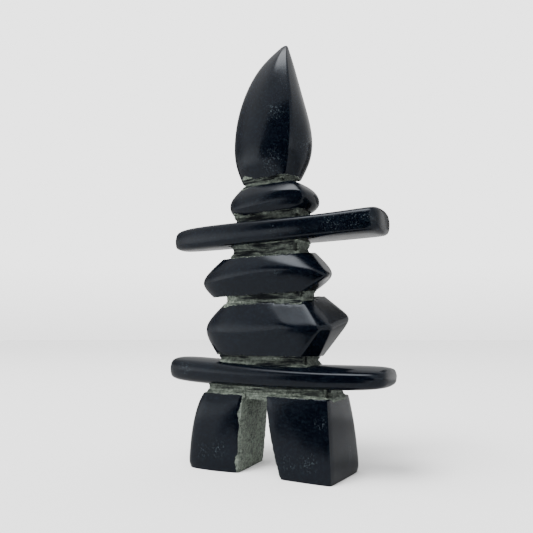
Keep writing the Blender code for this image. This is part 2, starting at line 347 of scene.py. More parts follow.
def neck(name, bottom, top, left, right, front, back):
    """The rough post left standing in a groove, hollowed a little by the tool."""
    rings = []
    levels = (bottom - NECK_BITE, bottom, (bottom + top) / 2, top, top + NECK_BITE)
    for height, inset in zip(levels, (0.0, -NECK_FLARE, NECK_WAIST, -NECK_FLARE, 0.0)):
        x0, x1 = left + inset, right - inset
        y0, y1 = front + inset, back - inset
        mid_x, mid_y = (x0 + x1) / 2, (y0 + y1) / 2
        corners = ((x0, y0), (x1, y0), (x1, y1), (x0, y1))
        sides = ((mid_x, y0), (x1, mid_y), (mid_x, y1), (x0, mid_y))
        rings.append(ring(height, corners, sides))
    corners = (FRONT_LEFT, FRONT_RIGHT, BACK_RIGHT, BACK_LEFT)
    return cage_stone(name, rings, (CUT, 0, 0, 0, CUT), dict.fromkeys(corners, 0.4),
                      NECK_LEVELS, rough_sides=range(8))


NECKS = {
    "hip_neck": (LEG_TOP, 56.5, -45.0, 50.0, -16.0, 12.0),
    "waist_neck": (70.5, BELLY_BOTTOM, -36.5, 34.0, -14.0, 10.0),
    "middle_neck": (BELLY_TOP - 3.0, CHEST_BOTTOM, -32.0, 31.0, -13.5, 9.0),
    "shoulder_neck": (CHEST_TOP, 151.5, -27.5, 27.0, -12.5, 9.0),
    "throat_neck": (168.0, COLLAR_BOTTOM, -26.0, 27.5, -11.5, 9.0),
    "head_neck": (COLLAR_TOP, HEAD_BOTTOM, -19.0, 15.5, -10.0, 8.0),
}
necks = [neck(name, *sizes) for name, sizes in NECKS.items()]
print("necks:", [post.name for post in necks])

# %% [markdown]
# ## One block again
# An exact Boolean union joins stones and necks into a single closed skin.  It needs every
# operand in a collection, and the two finishes come through it because the meshes all
# carry the same two material indices.  The two materials named here only mark the areas.

# %% Join
finishes = [bpy.data.materials.new("polished serpentine"),
            bpy.data.materials.new("chiselled serpentine")]
quarry = bpy.data.collections.new("operands")
bpy.context.scene.collection.children.link(quarry)
block, *others = slabs + legs + body_stones + necks
for stone in [block] + others:
    for finish in finishes:
        stone.data.materials.append(finish)
bpy.context.scene.collection.objects.link(block)
for stone in others:
    quarry.objects.link(stone)
union = block.modifiers.new("join", "BOOLEAN")
union.operation = "UNION"
union.operand_type = "COLLECTION"
union.collection = quarry
union.solver = "EXACT"
graph = bpy.context.evaluated_depsgraph_get()
joined = bpy.data.meshes.new_from_object(block.evaluated_get(graph))
joined.name = "carving"
for stone in [block] + others:
    bpy.data.objects.remove(stone, do_unlink=True)
bpy.data.collections.remove(quarry)
print("joined:", len(joined.vertices), "vertices,", len(joined.polygons), "faces")

# %% [markdown]
# ## Near the chisel's work or far from it
# A search tree over the rough faces tells how far any point is from the chisel's work.
# Chips may run 2 mm into the polish, and more along the left leg's front inner edge.  The
# soles are ground flat, so that the carving stands firm, and count as polished.

# %% Search trees
BAND = 2.0 * MM         # how far the chipping may run into the polish
LEG_BAND = 4.5 * MM     # and on the left leg's inner edge
SOLE = 0.5 * MM         # faces lower than this belong to the soles


def band_at(place):
    """How far from the rough stone a point still counts as near it."""
    on_leg_edge = place.z < 50 * MM and -30 * MM < place.x < 0 and place.y < -10 * MM
    return LEG_BAND if on_leg_edge else BAND


for face in joined.polygons:
    if face.center.z < SOLE:
        face.material_index = POLISHED
carving = bmesh.new()
carving.from_mesh(joined)


def tree_of(faces):
    """A search tree over some of the carving's faces."""
    corners, polygons = [], []
    for face in faces:
        polygons.append(range(len(corners), len(corners) + len(face.verts)))
        corners += [corner.co.copy() for corner in face.verts]
    return BVHTree.FromPolygons(corners, [list(polygon) for polygon in polygons])


rough_tree = tree_of([f for f in carving.faces if f.material_index == ROUGH])
polished_tree = tree_of([f for f in carving.faces if f.material_index == POLISHED])
print("rough faces:", sum(f.material_index == ROUGH for f in carving.faces))

# %% [markdown]
# ## Finer mesh where it is rough
# The rough stone needs real relief, so its long edges are split until none is over about
# a millimetre and a half.  The first sweeps stop at twice that, which keeps the triangles
# even.  The polish is left coarse, since a smooth face gains nothing from more points.

# %% Refine the chiselled stone
FINE = 1.4 * MM         # longest edge wanted in the rough stone
SWEEPS, COARSE_SWEEPS = 6, 2


def refine(mesh, longest):
    """Split the long edges near the rough faces; returns how many were split."""
    mesh.verts.index_update()
    close = [rough_tree.find_nearest(v.co, band_at(v.co))[0] is not None
             for v in mesh.verts]
    wide = [f for f in mesh.faces
            if len(f.verts) > 3 and any(close[v.index] for v in f.verts)]
    bmesh.ops.triangulate(mesh, faces=wide)
    long_edges = [e for e in mesh.edges if e.calc_length() > longest
                  and close[e.verts[0].index] and close[e.verts[1].index]]
    bmesh.ops.subdivide_edges(mesh, edges=long_edges, cuts=1)
    return len(long_edges)


for sweep in range(SWEEPS):
    if not refine(carving, FINE * (2.0 if sweep < COARSE_SWEEPS else 1.0)):
        break
bmesh.ops.triangulate(carving, faces=[f for f in carving.faces if len(f.verts) > 4])
carving.normal_update()
print("refined:", len(carving.verts), "vertices,", len(carving.faces), "faces")

# %% [markdown]
# ## Chips along the edge of the polish
# Where the chisel stopped, the polish breaks off in chips, so the border wanders by a
# millimetre or two.  The left leg's front edge lost bigger chips.  Over the rim of the
# belly under the groove the rough area is widened to carry a band painted dark, a painted
# reflection of the rounded rim.  The wander is noise of two sizes, measured in
# millimetres, so that it can be checked against a ruler.

# %% Chips
BIG_CHIP, SMALL_CHIP = 3.2 * MM, 1.4 * MM
LEG_CHIPS = {           # height up the left leg, and how far the chips reach there, in mm
    0: 0.5, 7: 2.6, 13: 0.6, 24: 0.8, 30: 0.2, 38: 2.4, 44: 0.8, 50: 0.3,
}
RIM_DARK_BAND = 1.6          # mm more over the belly's upper right rim, for its painted dark band
RIM_LEFT, RIM_RIGHT, RIM_LOW, RIM_HIGH = 9 * MM, 33 * MM, 108.5 * MM, 114 * MM


def chip_reach(place):
    """How far chips and the belly rim's painted dark band run into the polish, in mm."""
    reach = 0.3 + 0.5 * noise.noise(place / BIG_CHIP) \
        + 0.3 * noise.noise(place / SMALL_CHIP)
    if RIM_LOW < place.z < RIM_HIGH and RIM_LEFT < place.x < RIM_RIGHT:
        reach += RIM_DARK_BAND
    if band_at(place) == LEG_BAND:
        reach = 0.5 * reach + np.interp(place.z / MM, list(LEG_CHIPS),
                                        list(LEG_CHIPS.values()))
    return max(0.05, reach)


# %% [markdown]
# ## Three marks of the tools
# Inside the border lie flat bites a few millimetres wide, ledges where the saw ran along
# the groove, and small round pits where a grain broke out.  Each is a function of place
# that returns how deep the mark is there, before it is scaled to millimetres.

# %% Tool marks
BITE_WIDTH = 4.0 * MM
LEDGE_STEP = 2.1 * MM
PIT_SPACING = 2.6 * MM


def bites(place):
    """Flat-bottomed chisel bites: each cell of stone gets its own tilted plane."""
    _, centres = noise.voronoi(place / BITE_WIDTH)
    centre = centres[0]
    lean = noise.cell_vector(centre * 7.3) - Vector((0.5, 0.5, 0.5))
    return lean.z + 1.2 * (place / BITE_WIDTH - centre).dot(lean)


def ledges(place):
    """Level steps left by the saw and file, wandering a little."""
    wander = 0.9 * noise.noise(place / (14 * MM)) + 0.3 * noise.noise(place / (4 * MM))
    phase = (place.z / LEDGE_STEP + wander) % 1.0
    return abs(2 * phase - 1)


def pits(place):
    """Small round holes, each about a third as wide as they lie apart."""
    distances, _ = noise.voronoi(place / PIT_SPACING)
    return max(0.0, 1.0 - distances[0] / 0.35)


# %% [markdown]
# ## What each groove shows
# A groove is opened with a saw and a drill.  The stone above is undercut, a drill leaves
# a wedge-shaped notch at the front right corner, and wax and dust settle where no cloth
# can reach.  Its darkness is that dirt and painted shade together: the notch is painted
# dark, and the narrow right side, facing +X, gets its own tone as painted light.  A
# groove is read across in millimetres from the figure's middle line, and up as a share of
# its height: 0 at its floor and 1 under the stone above.

# %% Grooves
DRILL = {              # width of the notch in mm, and from where to where up the groove
    "hip_neck": (2.3, 0.0, 1.0), "waist_neck": (1.9, 0.0, 1.0),
    "middle_neck": (1.2, 0.45, 1.0), "shoulder_neck": (1.8, 0.0, 0.9),
    "throat_neck": (2.3, 0.0, 0.65), "head_neck": (1.0, 0.3, 0.8),
}
DIRT_AND_SHADE = {               # dirt and painted shade in a groove, then patches of it: x to x, up to up, amount
    "hip_neck": (0.28, [(-26, -11, -1, 2, 0.05), (-4, 38, 0.4, 2, 0.0),
                        (-47, -26, -1, 0.25, 0.8)]),
    "waist_neck": (0.75, [(-36, 34, 0.72, 2, 1.0), (-8, 16, 0.45, 0.75, 0.35),
                          (14, 30, 0.15, 0.5, 1.0)]),
    "middle_neck": (0.85, [(-45, -20, -1, 2, 0.2), (-22, -4, -1, 0.4, 0.5),
                           # painted reflection: this patch reaches below the groove and
                           # paints the belly's rounded rim dark
                           (-4, 40, -3, 0.3, 1.0)]),
    "shoulder_neck": (0.85, [(-26, -5, -1, 0.65, 1.0), (0, 24, 0.7, 2, 0.65)]),
    "throat_neck": (0.85, [(-26, 10, 0.85, 2, 0.5), (-26, 14, 0.2, 0.8, 1.0),
                           (10, 26, 0.4, 1.1, 1.0)]),
    "head_neck": (0.45, [(-19, 8, 0.1, 0.45, 0.7)]),
}
PAINTED_LIT_SIDE = 0.5         # painted light: the narrow right side of a neck, facing +X, gets this tone for how it is lit
SIDE_DEPTH = 2.5        # mm in from that side
UNDERCUT, NOTCH = 0.8, 2.6      # their full depths in mm


def within(value, low, high, soft):
    """1 between low and high, fading to 0 over soft at each end."""
    return max(0.0, min(1.0, (value - low) / soft, (high - value) / soft))


def dirt_and_shade_at(name, x, up, lift):
    """Dirt and painted shade at x mm and this share of the height; lift blurs edges."""
    dirt_and_shade, patches = DIRT_AND_SHADE[name]
    for start, end, low, high, value in patches:
        share = within(x, start, end, 4.0) * within(up + lift, low, high, 0.15)
        dirt_and_shade += share * (value - dirt_and_shade)
    return dirt_and_shade


def groove_marks(place):
    """Undercut and corner notch depth in mm; dirt and painted shade; in a groove?"""
    deepest, dirt_and_shade, in_groove = 0.0, 0.0, 0.0
    x, y, z = (c / MM - shift for c, shift in zip(place, SHIFT))
    for name, (bottom, top, left, right, front, back) in NECKS.items():
        if not (bottom - 1.5 < z < top + 1.5 and left - 3 < x < right + 3):
            continue
        in_groove = 1.0
        up = (z - bottom) / (top - bottom)
        wander = noise.noise(place / (5 * MM))
        undercut = within(up, 0.7 + 0.3 * wander, 2.0, 0.25)
        width, low, high = DRILL[name]
        wedge = width * (0.7 + 0.4 * up + 0.5 * wander) * within(up, low, high, 0.2)
        away = math.hypot(x - (right - 2.2 + 1.5 * wander), 0.7 * (y - front - 1.0))
        notch = max(0.0, 1.0 - away / max(wedge, 0.1)) ** 0.5
        deepest = max(deepest, UNDERCUT * undercut, NOTCH * notch)
        dirt_and_shade = dirt_and_shade_at(name, x, up, 0.12 * noise.noise(place / (7 * MM)))
        # painted light: the right side, facing +X, takes its own tone for how it is lit
        if x > right - SIDE_DEPTH:
            dirt_and_shade = PAINTED_LIT_SIDE
        # painted shade: the drilled notch is painted dark
        dirt_and_shade = max(dirt_and_shade, notch)
    return deepest, dirt_and_shade, in_groove


print("grooves:", ", ".join(DRILL))

# %% [markdown]
# ## Cutting the relief
# Every point of the rough stone moves inward along its own normal.  Only ever inward: a
# chisel takes stone away, so the carving can't outgrow the stones it was joined from.
# Three numbers stay with each point for the finish to read: how far it lies inside the
# rough area, whether it is in a groove, and how dark it is with dirt and painted shade.

# %% Cut
SKIM, BITE, LEDGE, PIT = 0.2, 0.35, 0.35, 0.4       # depths of the tool marks in mm
RUN_OUT = 0.8           # mm over which a tool mark fades out at the polish
FRONT_PAINTED_SHADE = 0.3               # painted shade on rough faces that face the front, darker than the sides


def inside_rough(place):
    """How far a point lies inside the rough stone, in mm; below 0 outside it."""
    away = rough_tree.find_nearest(place, band_at(place))[3]
    if away is None:
        return -LEG_BAND / MM
    if away > 0.02 * MM:
        return -away / MM
    margin = polished_tree.find_nearest(place, BAND)[3]
    return (BAND if margin is None else margin) / MM


unpolished, sawn, dirt_and_shade_values, moves = [], [], [], []
deepest_cut = 0.0
for point in carving.verts:
    place = point.co
    inside = inside_rough(place) + chip_reach(place)
    depth, dirt_and_shade, in_groove = 0.0, 0.0, 0.0
    if inside > 0:
        cut, dirt_and_shade, in_groove = groove_marks(place)
        # painted shade: rough faces toward the front are darkened
        if point.normal.y < -0.5:
            dirt_and_shade = max(dirt_and_shade, FRONT_PAINTED_SHADE)
        depth = SKIM + BITE * bites(place) + LEDGE * ledges(place) \
            + PIT * pits(place) + cut
        depth = max(0.0, depth) * min(1.0, inside / RUN_OUT)
    deepest_cut = max(deepest_cut, depth)
    unpolished.append(inside)
    sawn.append(in_groove)
    dirt_and_shade_values.append(dirt_and_shade)
    moves.append(point.normal * (-depth * MM))
for point, move in zip(carving.verts, moves):
    point.co += move
print("cut:", len(moves), "points, deepest tool mark", round(deepest_cut, 2), "mm")

# %% [markdown]
# ## The carving takes its place
# The cut mesh becomes an object with its three numbers as point attributes.  Facets that
# meet at more than 40 degrees keep a hard edge in the shading, as broken stone does; the
# polish is shaded smooth.  It then stands in for the measured solid.

# %% Carving
HARD_EDGE = math.radians(40)
carved = bpy.data.meshes.new("carving")
carving.to_mesh(carved)
carving.free()
carved.shade_smooth()
carved.set_sharp_from_angle(angle=HARD_EDGE)
for label, values in (("unpolished", unpolished), ("sawn", sawn), ("dirt_and_shade", dirt_and_shade_values)):
    attribute = carved.attributes.new(label, "FLOAT", "POINT")
    attribute.data.foreach_set("value", values)
carving_piece = bpy.data.objects.new("serpentine_carving", carved)
bpy.context.scene.collection.objects.link(carving_piece)
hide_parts(NODE)
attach(carving_piece, "root")
carved.calc_loop_triangles()
print("carving:", len(carved.loop_triangles), "triangles")

# %% [markdown]
# ## Mixing the finishes
# Serpentine is a soft green-black stone.  Polished and waxed it is nearly black and takes
# its light from what it mirrors; where the chisel has bruised it the crushed grains
# scatter light, so the same stone turns a dusty grey-green.  Colours are given in sRGB,
# as a paint chart gives them, and one function turns them to the linear numbers that
# the shader wants.  One more small function adds a node with its settings and links.

# %% Colours and nodes
def linear(code):
    """An sRGB hex colour as linear red, green, blue and full alpha."""
    parts = [int(code[i:i + 2], 16) / 255 for i in (1, 3, 5)]
    return [c / 12.92 if c <= 0.04045 else ((c + 0.055) / 1.055) ** 2.4
            for c in parts] + [1.0]


def add(tree, kind, settings=None, links=None):
    """Adds a node; settings are its properties or its sockets' own values."""
    node = tree.nodes.new("ShaderNode" + kind)
    for key, value in (settings or {}).items():
        if isinstance(key, str) and hasattr(node, key):
            setattr(node, key, value)
        else:
            node.inputs[key].default_value = value
    for key, output in (links or {}).items():
        tree.links.new(output, node.inputs[key])
    return node


def per(size_mm):
    """The scale of a pattern whose features are this many millimetres apart."""
    return 1000.0 / size_mm


FIRST_COLOUR, SECOND_COLOUR, MIXED = 6, 7, 2      # sockets of a colour Mix node

stone = bpy.data.materials.new("dark serpentine, polished and chiselled")
stone.use_nodes = True
tree = stone.node_tree
tree.nodes.clear()
place = add(tree, "TexCoord").outputs["Object"]
rough_by = add(tree, "Attribute", {"attribute_name": "unpolished"}).outputs["Fac"]

# %% [markdown]
# ## The border between the finishes
# It comes from the distance kept on the points, worried by a fine noise so that it breaks
# up into chips smaller than the mesh can hold.  The noise reaches 0.8 mm either way.

# %% Border
CRUMB = 1.3             # mm
crumbs = add(tree, "TexNoise", {"Scale": per(CRUMB), "Detail": 3.0}, {"Vector": place})
crumb_edge = add(tree, "Math", {"operation": "MULTIPLY_ADD", 1: 1.6, 2: -0.8},
                 {0: crumbs.outputs["Fac"]})
border = add(tree, "Math", {"operation": "ADD"},
             {0: rough_by, 1: crumb_edge.outputs["Value"]})
chiselled = add(tree, "MapRange", {"From Min": -0.12, "From Max": 0.18},
                {"Value": border.outputs["Value"]}).outputs["Result"]
print("border: crumbs", CRUMB, "mm across")

# %% [markdown]
# ## Polished serpentine
# Under the polish the stone is blue-black with faint cloudy mottling, about 15 mm across,
# which keeps a wide face from looking like black plastic.  A finer pepper of slate blue
# grains breaks up the darkest parts.  Both stay very dark: what the eye sees on a
# polished black stone is mostly the room in it.

# %% Polished colour
CLOUD, PEPPER = 15, 1.7         # mm
clouds = add(tree, "TexNoise", {"Scale": per(CLOUD), "Detail": 4.0}, {"Vector": place})
cloud_amount = add(tree, "MapRange", {"From Min": 0.35, "From Max": 0.7},
                   {"Value": clouds.outputs["Fac"]})
dark_stone = add(tree, "Mix", {"data_type": "RGBA", FIRST_COLOUR: linear("#010206"),
                               SECOND_COLOUR: linear("#03050c")},
                 {0: cloud_amount.outputs["Result"]})
peppery = add(tree, "TexNoise", {"Scale": per(PEPPER), "Detail": 4.0, "Roughness": 0.8},
              {"Vector": place})
pepper = add(tree, "MapRange", {"From Min": 0.5, "From Max": 0.68},
             {"Value": peppery.outputs["Fac"]})
polish_colour = add(tree, "Mix", {"data_type": "RGBA", SECOND_COLOUR: linear("#0c1319")},
                    {0: pepper.outputs["Result"],
                     FIRST_COLOUR: dark_stone.outputs[MIXED]})
print("polish: clouds", CLOUD, "mm, pepper", PEPPER, "mm")

# %% [markdown]
# ## Pale flecks
# Talc grains lie at the surface in clusters, where the saw bruised the stone before it
# was polished.  Real grains are a few tenths of a millimetre; they are drawn about
# 0.5 mm wide, so that they show.  Each cluster fades out from its middle, and the
# clusters sit low on the head, along the upper slab and round the feet.

# %% Flecks
FLECK = 1.1             # mm from fleck to fleck
CLUSTERS = [            # middle and radius of each cluster of flecks, in mm
    ((8, -15, 209), 12), ((11, -15, 245), 10), ((-22, -11, 212), 9), ((27, 0, 222), 12),
    ((12, -19, 160), 5), ((53, -18, 160), 8), ((67, -18, 162), 9), ((77, -18, 163), 7),
    ((-40, -23, 12), 8), ((-27, -24, 15), 8), ((24, -22, 10), 7), ((38, -22, 12), 8),
    ((46, -22, 36), 5), ((52, 4, 14), 9), ((-62, -17, 66), 9), ((14, -20, 131), 4),
    ((-30, 12, 230), 14), ((20, 20, 90), 16),
    ((-30, 18, 64), 14), ((40, 16, 160), 14), ((-36, 20, 24), 14),
]
SOLID_CORE = 0.3        # share of a cluster's radius where no fleck is missing
cluster = None
for middle, radius in CLUSTERS:
    away = add(tree, "VectorMath", {"operation": "DISTANCE",
                                    1: [MM * (c + d) for c, d in zip(middle, SHIFT)]},
               {0: place}).outputs["Value"]
    near = add(tree, "MapRange", {"From Min": radius * MM,
                                  "From Max": SOLID_CORE * radius * MM},
               {"Value": away}).outputs["Result"]
    cluster = near if cluster is None else add(
        tree, "Math", {"operation": "MAXIMUM"}, {0: cluster, 1: near}).outputs[0]
flecks = add(tree, "TexNoise", {"Scale": per(FLECK), "Detail": 1.0, "Roughness": 0.5},
             {"Vector": place})
fleck_spots = add(tree, "MapRange", {"From Min": 0.58, "From Max": 0.78},
                  {"Value": flecks.outputs["Fac"]})
fleck_amount = add(tree, "Math", {"operation": "MULTIPLY"},
                   {0: fleck_spots.outputs["Result"], 1: cluster})
flecked = add(tree, "Mix", {"data_type": "RGBA", SECOND_COLOUR: linear("#2e363a")},
              {0: fleck_amount.outputs["Value"],
               FIRST_COLOUR: polish_colour.outputs[MIXED]})
print("flecks:", len(CLUSTERS), "clusters")

# %% [markdown]
# ## Chiselled serpentine
# Crushed serpentine is a matt grey-green: every broken grain scatters white light, so the
# same stone looks far paler than under the polish.  One noise both raises the grit and
# pales it, so grains on the high spots are paler and those between them darker: crushing
# on the high spots, and painted shade in the hollows.  That gives the cut stone its
# tooth.

# %% Crushed grains
GRAIN = 1.9             # mm
grains = add(tree, "TexNoise", {"Scale": per(GRAIN), "Detail": 4.0, "Roughness": 0.7},
             {"Vector": place})
grain_amount = add(tree, "MapRange", {"From Min": 0.36, "From Max": 0.62},
                   {"Value": grains.outputs["Fac"]})
# paler where the grit stands high, darker in its hollows: partly painted shade
bruised = add(tree, "Mix", {"data_type": "RGBA", FIRST_COLOUR: linear("#40463f"),
                            SECOND_COLOUR: linear("#6f776d")},
              {0: grain_amount.outputs["Result"]})
print("crushed grains:", GRAIN, "mm")

# %% [markdown]
# ## Dirt and painted shade along the grooves
# Dirt and old wax lie in the saw marks, so they draw dark lines along a groove, ten times
# longer than they are wide.  Only a groove has them, and not on its narrow right side,
# which faces +X: that side is left lighter, as painted light.  The dirt and painted shade
# kept on the points are added to the lines.

# %% Dirt and painted shade
STREAK_LONG, STREAK_HIGH = 22, 2.2      # mm
in_groove = add(tree, "Attribute", {"attribute_name": "sawn"}).outputs["Fac"]
dirt_and_shade = add(tree, "Attribute", {"attribute_name": "dirt_and_shade"}).outputs["Fac"]
along = add(tree, "Mapping",
            {"Scale": (per(STREAK_LONG), per(STREAK_LONG), per(STREAK_HIGH))},
            {"Vector": place}).outputs["Vector"]
streaks = add(tree, "TexNoise", {"Scale": 1.0, "Detail": 4.0, "Roughness": 0.65},
              {"Vector": along})
streak_dark = add(tree, "MapRange", {"From Min": 0.45, "From Max": 0.62,
                                     "To Min": -0.25, "To Max": 0.6},
                  {"Value": streaks.outputs["Fac"]})
# painted light: faces toward +X, the lit right sides, get no streaks
facing_right = add(tree, "SeparateXYZ", {},
                   {0: add(tree, "NewGeometry").outputs["Normal"]}).outputs["X"]
not_side = add(tree, "MapRange", {"From Min": 0.75, "From Max": 0.5},
               {"Value": facing_right})
groove_streaks = add(tree, "Math", {"operation": "MULTIPLY"},
                     {0: streak_dark.outputs["Result"], 1: in_groove})
seen_streaks = add(tree, "Math", {"operation": "MULTIPLY"},
                   {0: groove_streaks.outputs["Value"],
                    1: not_side.outputs["Result"]})
dirt_and_shade_amount = add(tree, "Math", {"operation": "MULTIPLY_ADD", 1: 0.9, "use_clamp": True},
                  {0: dirt_and_shade, 2: seen_streaks.outputs["Value"]})
print("dirt streaks:", STREAK_LONG, "by", STREAK_HIGH, "mm")

# %% [markdown]
# ## Scratches and holes
# The point of the chisel leaves slanted scratches, in patches where it was drawn over the
# stone instead of struck, and grains that broke out leave small holes.  Both are drawn
# dark, so all three kinds of dark are joined by taking the darkest of them.

# %% Scratches and holes
SLANT = math.radians(40)
SCRATCH_PATCH, HOLE = 14, 1.5           # mm
slanted = add(tree, "Mapping", {"Rotation": (SLANT, 0.0, 0.0),
                                "Scale": (per(6), per(12), per(1.1))},
              {"Vector": place}).outputs["Vector"]
scratches = add(tree, "TexNoise", {"Scale": 1.0, "Detail": 2.0}, {"Vector": slanted})
scratch_lines = add(tree, "MapRange", {"From Min": 0.56, "From Max": 0.66,
                                       "To Max": 0.55},
                    {"Value": scratches.outputs["Fac"]})
scratch_patches = add(tree, "TexNoise", {"Scale": per(SCRATCH_PATCH)}, {"Vector": place})
scratched_here = add(tree, "MapRange", {"From Min": 0.5, "From Max": 0.58},
                     {"Value": scratch_patches.outputs["Fac"]})
scratched = add(tree, "Math", {"operation": "MULTIPLY"},
                {0: scratch_lines.outputs["Result"],
                 1: scratched_here.outputs["Result"]})
holes = add(tree, "TexVoronoi", {"Scale": per(HOLE)}, {"Vector": place})
hole_dark = add(tree, "MapRange", {"From Min": 0.32, "From Max": 0.15, "To Max": 0.6},
                {"Value": holes.outputs["Distance"]})
worst = add(tree, "Math", {"operation": "MAXIMUM"},
            {0: hole_dark.outputs["Result"], 1: scratched.outputs["Value"]})
all_dark = add(tree, "Math", {"operation": "MAXIMUM"},
               {0: dirt_and_shade_amount.outputs["Value"], 1: worst.outputs["Value"]})
print("scratches slant", round(math.degrees(SLANT)), "degrees, holes", HOLE, "mm apart")

# %% [markdown]
# ## One colour for the whole stone
# Dirt and painted shade go over the crushed stone, and the border decides between that
# and the polish.

# %% Whole colour
dirt_and_shade_stone = add(tree, "Mix", {"data_type": "RGBA", SECOND_COLOUR: linear("#0b0e10")},
                  {0: all_dark.outputs["Value"], FIRST_COLOUR: bruised.outputs[MIXED]})
colour = add(tree, "Mix", {"data_type": "RGBA"},
             {0: chiselled, FIRST_COLOUR: flecked.outputs[MIXED],
              SECOND_COLOUR: dirt_and_shade_stone.outputs[MIXED]})
print("colour:", len(tree.nodes), "nodes so far")

# %% [markdown]
# ## Sheen
# Hand polishing and wax leave a satin gloss, with roughness 0.13 to 0.22: a little duller
# over the cloudy patches, and duller again on the flecks, since talc won't take a polish.
# The eye reads that as soft-edged reflections.  The crushed stone has no gloss at all.

# %% Roughness
CRUSHED_ROUGHNESS = 0.85
gloss = add(tree, "MapRange", {"From Min": 0.3, "From Max": 0.75,
                               "To Min": 0.13, "To Max": 0.22},
            {"Value": clouds.outputs["Fac"]})
dulled = add(tree, "Math", {"operation": "MULTIPLY_ADD", 1: 0.25},
             {0: fleck_amount.outputs["Value"], 2: gloss.outputs["Result"]})
roughness = add(tree, "Mix", {"B": CRUSHED_ROUGHNESS},
                {"Factor": chiselled, "A": dulled.outputs["Value"]})
print("roughness: polish 0.13 to 0.22, crushed stone", CRUSHED_ROUGHNESS)

# %% [markdown]
# ## Touch
# A hand-ground face is flat to the hand but not to the eye, and its reflections swim
# slightly.  Long waves 0.09 mm high and a fine skin 0.012 mm high do that.  The crushed
# stone gets a grit of 0.7 mm instead, lower where it is dark.  A Bump node takes heights
# in its own Distance, here one millimetre.

# %% Relief of the finishes
WAVE, SKIN = 11, 2.2                    # mm from crest to crest
WAVE_HIGH, SKIN_HIGH, GRIT_HIGH, DARK_DEEP = 0.09, 0.012, 0.7, 0.5      # mm
waves = add(tree, "TexNoise", {"Scale": per(WAVE), "Detail": 0.0}, {"Vector": place})
skin = add(tree, "TexNoise", {"Scale": per(SKIN), "Detail": 2.0}, {"Vector": place})
skin_height = add(tree, "Math", {"operation": "MULTIPLY", 1: SKIN_HIGH},
                  {0: skin.outputs["Fac"]})
wave_height = add(tree, "Math", {"operation": "MULTIPLY_ADD", 1: WAVE_HIGH},
                  {0: waves.outputs["Fac"], 2: skin_height.outputs["Value"]})
dark_height = add(tree, "Math", {"operation": "MULTIPLY", 1: -DARK_DEEP},
                  {0: all_dark.outputs["Value"]})
grit_height = add(tree, "Math", {"operation": "MULTIPLY_ADD", 1: GRIT_HIGH},
                  {0: grains.outputs["Fac"], 2: dark_height.outputs["Value"]})
relief = add(tree, "Mix", {}, {"Factor": chiselled, "A": wave_height.outputs["Value"],
                               "B": grit_height.outputs["Value"]})
touch = add(tree, "Bump", {"Strength": 1.0, "Distance": MM},
            {"Height": relief.outputs["Result"]})
print("relief: waves", WAVE_HIGH, "mm, grit", GRIT_HIGH, "mm")

# %% [markdown]
# ## The stone's shader
# Serpentine bends light by about 1.56.  A perfect polish would mirror at the full
# Specular IOR Level of 0.5; a hand polish under wax gives back about half of that, hence
# 0.25.  The faint blue tint is what the wax leaves in the mirrored light.

# %% Shader
SERPENTINE_IOR = 1.56
HAND_POLISH = 0.25
surface = add(tree, "BsdfPrincipled", {"IOR": SERPENTINE_IOR,
                                       "Specular IOR Level": HAND_POLISH,
                                       "Specular Tint": linear("#ecf5ff")},
              {"Base Color": colour.outputs[MIXED],
               "Roughness": roughness.outputs["Result"],
               "Normal": touch.outputs["Normal"]})
add(tree, "OutputMaterial", {}, {"Surface": surface.outputs["BSDF"]})
carved.materials.clear()
carved.materials.append(stone)
carved.polygons.foreach_set("material_index", [0] * len(carved.polygons))
print("finish:", stone.name, "with", len(tree.nodes), "nodes")

# %% [markdown]
# ## The floor
# The polish mirrors a greyer paper than the lens sees: mid grey round the feet, darker
# 0.3 m behind them and lighter again past 0.5 m. A Light Path node tells the two kinds of
# look apart.

# %% Floor
FLOOR_RADIUS = 12.0
PAPER, NEAR_PAPER, BEHIND_PAPER, FAR_PAPER = "#e3e3e3", "#919191", "#6e6e6e", "#989898"


def sheet(name, corners, faces, finish):
    """A studio sheet: floor, flag or card."""
    data = bpy.data.meshes.new(name)
    data.from_pydata(corners, [], faces)
    data.materials.append(finish)
    made = bpy.data.objects.new(name, data)
    bpy.context.scene.collection.objects.link(made)
    return made


paper = bpy.data.materials.new("matt white paper")
paper.use_nodes = True
paper_tree = paper.node_tree
paper_tree.nodes.clear()
mirrored = add(paper_tree, "LightPath").outputs["Is Glossy Ray"]
where = add(paper_tree, "TexCoord").outputs["Object"]
depth = add(paper_tree, "SeparateXYZ", {}, {0: where}).outputs["Y"]
falling = add(paper_tree, "MapRange", {"From Min": 0.0, "From Max": 0.3},
              {"Value": depth})
dimmed = add(paper_tree, "Mix", {"data_type": "RGBA", FIRST_COLOUR: linear(NEAR_PAPER),
                                 SECOND_COLOUR: linear(BEHIND_PAPER)},
             {0: falling.outputs["Result"]})
far_away = add(paper_tree, "MapRange", {"From Min": 0.48, "From Max": 0.62},
               {"Value": depth})
far_paper = add(paper_tree, "Mix", {"data_type": "RGBA",
                                    SECOND_COLOUR: linear(FAR_PAPER)},
                {0: far_away.outputs["Result"], FIRST_COLOUR: dimmed.outputs[MIXED]})
paper_colour = add(paper_tree, "Mix", {"data_type": "RGBA", FIRST_COLOUR: linear(PAPER)},
                   {0: mirrored, SECOND_COLOUR: far_paper.outputs[MIXED]})
paper_face = add(paper_tree, "BsdfDiffuse", {}, {"Color": paper_colour.outputs[MIXED]})
add(paper_tree, "OutputMaterial", {}, {"Surface": paper_face.outputs[0]})
rim = [(FLOOR_RADIUS * math.cos(a), FLOOR_RADIUS * math.sin(a), 0.0)
       for a in np.linspace(0, 2 * math.pi, 64, endpoint=False)]
floor = sheet("floor", rim, [range(64)], paper)
print("floor:", round(2 * FLOOR_RADIUS), "m across")

